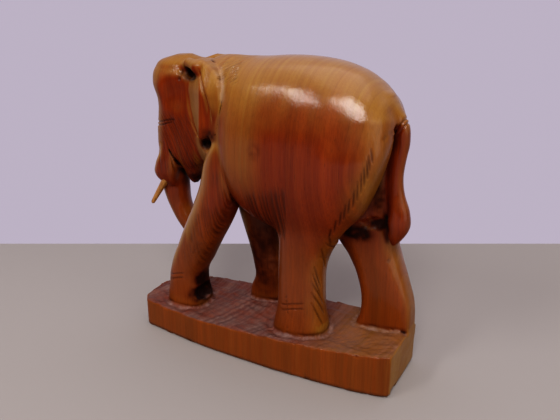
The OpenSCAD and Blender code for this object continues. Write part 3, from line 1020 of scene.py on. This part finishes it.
class Nodes:
    """The node tree of a new material or world, with short names for the nodes it is made of."""

    def __init__(self, owner):
        self.owner = owner
        owner.use_nodes = True
        self.t = owner.node_tree
        self.t.nodes.clear()

    def add(self, kind, **settings):
        n = self.t.nodes.new(kind)
        for key, v in settings.items():
            setattr(n, key, v)
        return n

    def feed(self, node, values):
        """Links or sets a node's inputs, given by name or number."""
        for key, v in values.items():
            if isinstance(v, bpy.types.NodeSocket):
                self.t.links.new(v, node.inputs[key])
            else:
                node.inputs[key].default_value = v

    def coordinates(self, kind):
        return self.add("ShaderNodeTexCoord").outputs[kind]

    def attribute(self, name):
        return self.add("ShaderNodeAttribute", attribute_name=name).outputs["Fac"]

    def math(self, op, a, b=0.0, clamp=False):
        n = self.add("ShaderNodeMath", operation=op, use_clamp=clamp)
        self.feed(n, {0: a, 1: b})
        return n.outputs[0]

    def times(self, a, b):
        return self.math("MULTIPLY", a, b)

    def mix(self, f, a, b):
        n = self.add("ShaderNodeMix", data_type="RGBA")
        self.feed(n, {0: f, 6: a, 7: b})
        return n.outputs[2]

    def over(self, base, colour, where, amount):
        """Lays a colour over another where a mask says, up to an amount."""
        return self.mix(self.times(where, amount), base, colour)

    def ramp(self, f, lo, hi, a=0.0, b=1.0, **settings):
        n = self.add("ShaderNodeMapRange", **settings)
        self.feed(n, {0: f, 1: lo, 2: hi, 3: a, 4: b})
        return n.outputs[0]

    def noise(self, vec, scale, detail, rough):
        n = self.add("ShaderNodeTexNoise")
        self.feed(n, {"Vector": vec, "Scale": scale, "Detail": detail, "Roughness": rough})
        return n.outputs["Fac"]

    def combine(self, x, y, z):
        n = self.add("ShaderNodeCombineXYZ")
        self.feed(n, {0: x, 1: y, 2: z})
        return n.outputs[0]

    def bump(self, height, strength, distance):
        n = self.add("ShaderNodeBump")
        self.feed(n, {"Strength": strength, "Distance": distance, "Height": height})
        return n.outputs[0]

    def finish(self, shader, output, values):
        """Ends the tree with a shader and gives what it belongs to."""
        n = self.add(shader)
        self.feed(n, values)
        self.feed(self.add(output), {0: n.outputs[0]})
        return self.owner

    def surface(self, values):
        return self.finish("ShaderNodeBsdfPrincipled", "ShaderNodeOutputMaterial", values)


def material(name):
    return Nodes(bpy.data.materials.new(name))


def rgb(*srgb):
    """Linear colour from an sRGB triple in 0..255."""
    c = np.array(srgb) / 255
    return (*np.where(c <= 0.04045, c / 12.92, ((c + 0.055) / 1.055) ** 2.4).tolist(), 1.0)


DEEP = rgb(104, 34, 5)
MID = rgb(132, 50, 8)
GOLD = rgb(152, 72, 18)
DARK = rgb(74, 22, 5)
BLACK = rgb(24, 9, 6)
# pale gold and its grain line for the painted light
LIT_GOLD = rgb(158, 116, 50)
LIT_GRAIN_LINE = rgb(114, 68, 22)


def hardwood():
    m = material("varnished_hardwood")
    obj = m.coordinates("Object")
    sep = m.add("ShaderNodeSeparateXYZ")
    m.feed(sep, {0: obj})
    ox, oy, oz = sep.outputs
    slow = m.math("SUBTRACT", m.noise(obj, 7.0, 2.0, 0.5), 0.5)
    # growth rings about a pith that stood well in front of the animal, so they cross it from side to side
    dx = m.math("ADD", ox, 0.190 * K)
    dy = m.math("SUBTRACT", oy, 0.030 * K)
    r = m.math("SQRT", m.math("ADD", m.times(dx, dx), m.times(dy, dy)))
    r = m.math("ADD", r, m.times(slow, 0.022))
    r = m.math("ADD", r, m.times(oz, 0.035))
    rv = m.combine(r, m.times(slow, 0.01), 0.0)
    broad = m.noise(rv, 70.0, 2.0, 0.5)
    line = m.noise(rv, 330.0, 3.0, 0.65)
    # each ring darkens towards its late wood and ends in a thin line
    wave = m.math("FRACT", m.math("ADD", m.times(r, 105.0 / K), m.times(broad, 2.4)))
    late = m.math("POWER", wave, 5.0)
    # fibres: long streaks up the block, and short dark pores in them
    fibre = m.noise(m.combine(ox, oy, m.times(oz, 0.03)), 850.0, 4.0, 0.65)
    pore = m.noise(m.combine(ox, oy, m.times(oz, 0.075)), 1500.0, 2.0, 0.5)
    cloud = m.noise(obj, 26.0, 3.0, 0.55)
    col = m.mix(m.ramp(broad, 0.32, 0.68), DEEP, MID)
    col = m.over(col, GOLD, m.ramp(line, 0.45, 0.72), 0.34)
    col = m.over(col, DARK, late, 0.16)
    col = m.over(col, DARK, m.ramp(fibre, 0.42, 0.72), 0.36)
    col = m.over(col, BLACK, m.ramp(pore, 0.62, 0.74), 0.32)
    col = m.over(col, DEEP, m.ramp(cloud, 0.52, 0.75), 0.35)
    # painted light: where the lights fall the wood is painted pale gold
    lit_wood = m.over(LIT_GOLD, rgb(132, 80, 26), m.ramp(line, 0.36, 0.66), 0.55)
    lit_wood = m.over(lit_wood, LIT_GRAIN_LINE, late, 0.22)
    lit_wood = m.over(lit_wood, LIT_GRAIN_LINE, m.ramp(fibre, 0.42, 0.72), 0.22)
    col = m.over(col, lit_wood, m.attribute("painted_light_and_wear"), 0.85)
    # painted shade darkens the carved cuts
    col = m.over(col, rgb(54, 18, 7), m.attribute("cut"), 0.6)
    # painted shade: near black in the corners, recesses and hollows, with old polish and dirt on the fore
    # legs and the knot
    painted_shade_and_grime = m.attribute("painted_shade_and_grime")
    col = m.over(col, BLACK, painted_shade_and_grime, 0.92)
    # dust on the base, greyish mauve with a painted sheen of the pale wall
    patch = m.ramp(m.noise(obj, 60.0, 5.0, 0.65), 0.30, 0.62, 0.25, 0.95)
    dust_and_painted_sheen = m.math("MULTIPLY", m.attribute("dust_and_painted_sheen"), patch, clamp=True)
    col = m.over(col, m.mix(m.ramp(line, 0.35, 0.7), rgb(90, 71, 68), rgb(138, 113, 104)), dust_and_painted_sheen, 0.80)
    col = m.over(col, rgb(160, 132, 122), m.attribute("trench"), 0.55)
    # pale wax along the seams behind the ears, and painted sheen on the ear faces, the left fore leg and the
    # back
    col = m.over(col, rgb(168, 140, 120), m.attribute("wax_and_painted_sheen"), 0.7)
    rough = m.ramp(m.noise(obj, 140.0, 4.0, 0.6), 0.3, 0.7, 0.40, 0.52)
    dull = m.math("MAXIMUM", m.times(dust_and_painted_sheen, 0.9), m.math("MULTIPLY", painted_shade_and_grime, 1.5, clamp=True))
    gloss = m.times(m.math("SUBTRACT", 1.0, dull), m.attribute("gloss"))
    h = m.math("ADD", m.times(fibre, 0.55), m.times(pore, 0.35))
    h = m.math("ADD", h, m.times(line, 0.25))
    # the varnish was brushed: faint ripple over the fibres
    ripple = m.noise(m.combine(m.times(ox, 0.6), oy, m.times(oz, 0.35)), 420.0, 3.0, 0.6)
    return m.surface({
        "Base Color": col,
        "Roughness": m.math("ADD", rough, m.times(dust_and_painted_sheen, 0.20)),
        "Specular IOR Level": 0.12,
        "Coat Weight": m.times(gloss, 0.82),
        "Coat Roughness": 0.14,
        "Coat IOR": 1.46,
        "Normal": m.bump(h, 0.30, 0.0006),
        "Coat Normal": m.bump(m.math("ADD", h, m.times(ripple, 0.8)), 0.20, 0.0006),
    })


def tusk_wood():
    m = material("pale_tusk_wood")
    obj = m.coordinates("Object")
    grain = m.add("ShaderNodeMapping")
    m.feed(grain, {"Vector": obj, "Rotation": (0, math.radians(31), 0), "Scale": (1, 1, 0.08)})
    streak = m.noise(grain.outputs[0], 900.0, 4.0, 0.6)
    soil = m.noise(obj, 180.0, 3.0, 0.6)
    col = m.mix(m.ramp(streak, 0.3, 0.7), rgb(140, 90, 38), rgb(182, 128, 62))
    return m.surface({
        "Base Color": m.over(col, rgb(122, 66, 30), m.ramp(soil, 0.5, 0.75), 0.5),
        "Roughness": 0.42,
        "Coat Weight": 0.35,
        "Coat Roughness": 0.25,
        "Normal": m.bump(streak, 0.3, 0.0004),
    })


block.data.materials.append(hardwood())
ivory = tusk_wood()
for t in (left, right):
    t.data.materials.append(ivory)

PIECES = (
    (block, "carved_block", "varnished_hardwood"),
    (left, "left_tusk", "pale_tusk_wood"),
    (right, "right_tusk", "pale_tusk_wood"),
)
for ob, node, slot in PIECES:
    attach(ob, "root")
    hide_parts(node)

# ---- stage, light, camera ----

# the camera's place and heading, found from the outline of the base in the photograph
EYE = Vector((0.2149, -0.3738, 0.270)) * K
AZ = math.radians(29)
# the table top ends a little way behind the animal, square to the view
FLOOR = 12
FAR_EDGE = 0.63 * K
bpy.ops.mesh.primitive_plane_add(size=FLOOR, rotation=(0, 0, AZ))
floor = bpy.context.object
floor.location = EYE + Vector((-math.sin(AZ), math.cos(AZ), 0)) * (FAR_EDGE - FLOOR / 2)
floor.location.z = block_lo.z - 0.0002
floor.name = "floor"
pale_floor = material("pale_floor").surface({"Base Color": rgb(158, 149, 144), "Roughness": 0.8})
floor.data.materials.append(pale_floor)

# a dim room behind the camera, a pale wall beyond the object
room = Nodes(bpy.data.worlds.new("soft_room"))
away = room.add("ShaderNodeVectorMath", operation="DOT_PRODUCT")
room.feed(away, {0: room.coordinates("Generated"), 1: (-0.485, 0.875, 0.0)})
fade = room.ramp(away.outputs["Value"], -0.5, 0.6, interpolation_type="SMOOTHSTEP")
tone = room.mix(fade, (0.065, 0.046, 0.034, 1), (0.40, 0.36, 0.43, 1))
bpy.context.scene.world = room.finish("ShaderNodeBackground", "ShaderNodeOutputWorld", {"Color": tone})


def area(name, where, aim, size, power, colour=(1, 1, 1)):
    d = bpy.data.lights.new(name, "AREA")
    d.shape = "RECTANGLE"
    d.size, d.size_y = size
    d.energy = power
    d.color = colour
    o = bpy.data.objects.new(name, d)
    bpy.context.scene.collection.objects.link(o)
    o.location = where
    o.rotation_euler = (Vector(aim) - Vector(where)).to_track_quat("-Z", "Y").to_euler()
    return o


aim = (0.05, 0, 0.20 * K)
window_a = area("window_a", (-0.82, -1.46, 1.54), aim, (0.80, 0.28), 9, (0.95, 0.98, 1.0))
window_a.rotation_euler.rotate_axis("Z", math.radians(-37))
window_b = area("window_b", (0.58, -1.45, 1.66), aim, (1.05, 0.85), 30, (0.95, 0.98, 1.0))
window_b.rotation_euler.rotate_axis("Z", math.radians(33))
area("overhead", (0.15, 0.10, 2.3), (0, 0, 0), (2.2, 2.2), 13, (0.93, 0.97, 1.0))
area("fill_right", (1.7, -0.6, 0.7), aim, (1.6, 1.6), 7, (1.0, 0.97, 0.92))

cam_data = bpy.data.cameras.new("camera")
cam = bpy.data.objects.new("camera", cam_data)
bpy.context.scene.collection.objects.link(cam)
# focal length over the width of the picture
LENS = 15 / 14
cam_data.sensor_width = 36
cam_data.lens = LENS * cam_data.sensor_width
cam_data.clip_start = 0.01
pitch = math.radians(20)
cam.location = EYE
look = Vector((-math.sin(AZ) * math.cos(pitch), math.cos(AZ) * math.cos(pitch), -math.sin(pitch)))
cam.rotation_euler = look.to_track_quat("-Z", "Y").to_euler()
bpy.context.scene.camera = cam
bpy.context.scene.view_settings.view_transform = "Standard"
bpy.context.scene.view_settings.look = "High Contrast"

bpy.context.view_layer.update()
